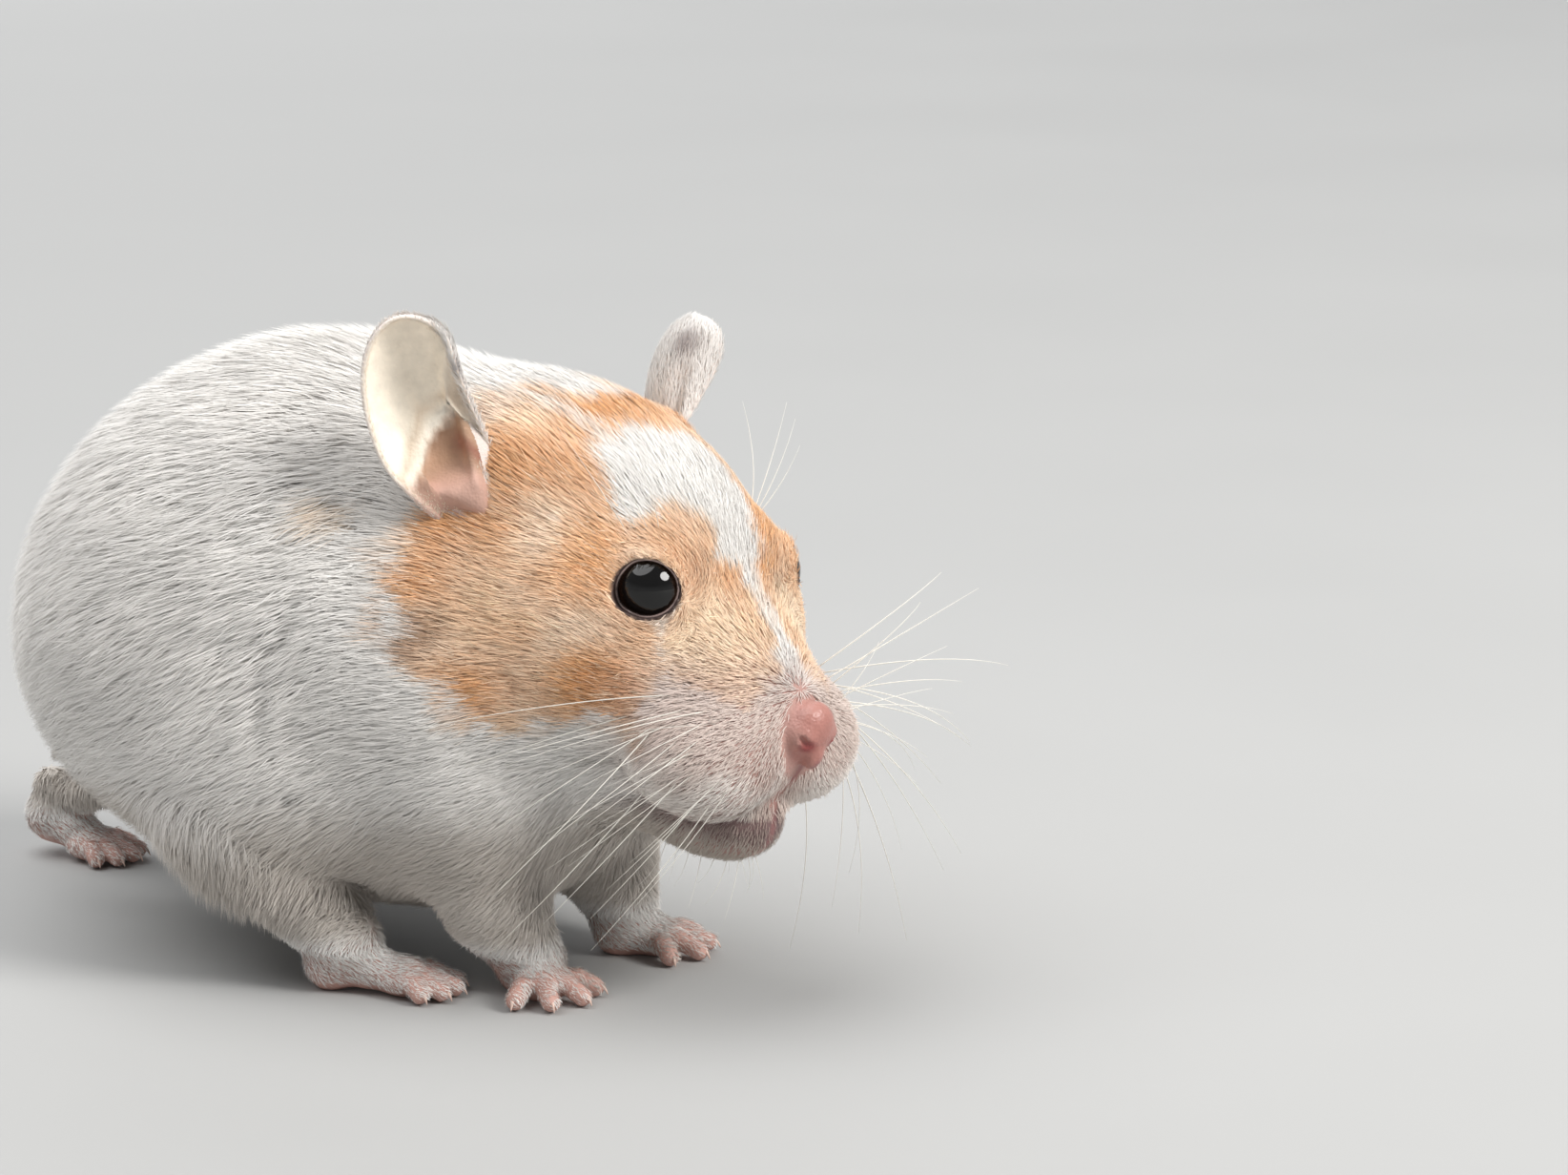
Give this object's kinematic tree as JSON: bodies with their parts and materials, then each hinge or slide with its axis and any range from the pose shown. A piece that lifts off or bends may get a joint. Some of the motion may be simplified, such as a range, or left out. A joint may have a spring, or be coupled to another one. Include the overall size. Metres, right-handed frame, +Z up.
{
  "type": "syrian hamster",
  "caption": "Still, life-size Syrian hamster in mid-step, plump and white with a ginger head patch, upright ears, and flat soles on one level.",
  "frame": {"origin": "on the floor, below the middle of the whole outline", "axes": "the nose points to -Y, the animal's left side is +X, +Z is up"},
  "size_m": [0.0542, 0.102, 0.0662],
  "materials": {
    "white_coat": "soft dense fur",
    "ginger_coat": "soft short fur",
    "bare_skin": "satin bare skin",
    "ear_skin": "thin matt skin",
    "eye": "wet gloss"
  },
  "bodies": {
    "root": {"head": "ginger_coat", "lower_jaw": "white_coat", "nose": "bare_skin", "eye_right": "eye", "eye_left": "eye", "ear_right": "ear_skin", "ear_left": "ear_skin", "neck": "white_coat", "chest": "white_coat", "rump": "white_coat", "tail": "bare_skin", "forearm_right": "white_coat", "shank_right": "white_coat", "upper_arm_right": "white_coat", "thigh_right": "white_coat", "forearm_left": "white_coat", "shank_left": "white_coat", "upper_arm_left": "white_coat", "thigh_left": "white_coat", "forepaw_right": "bare_skin", "forepaw_left": "bare_skin", "hindfoot_right": "bare_skin", "hindfoot_left": "bare_skin"}
  },
  "joints": []
}
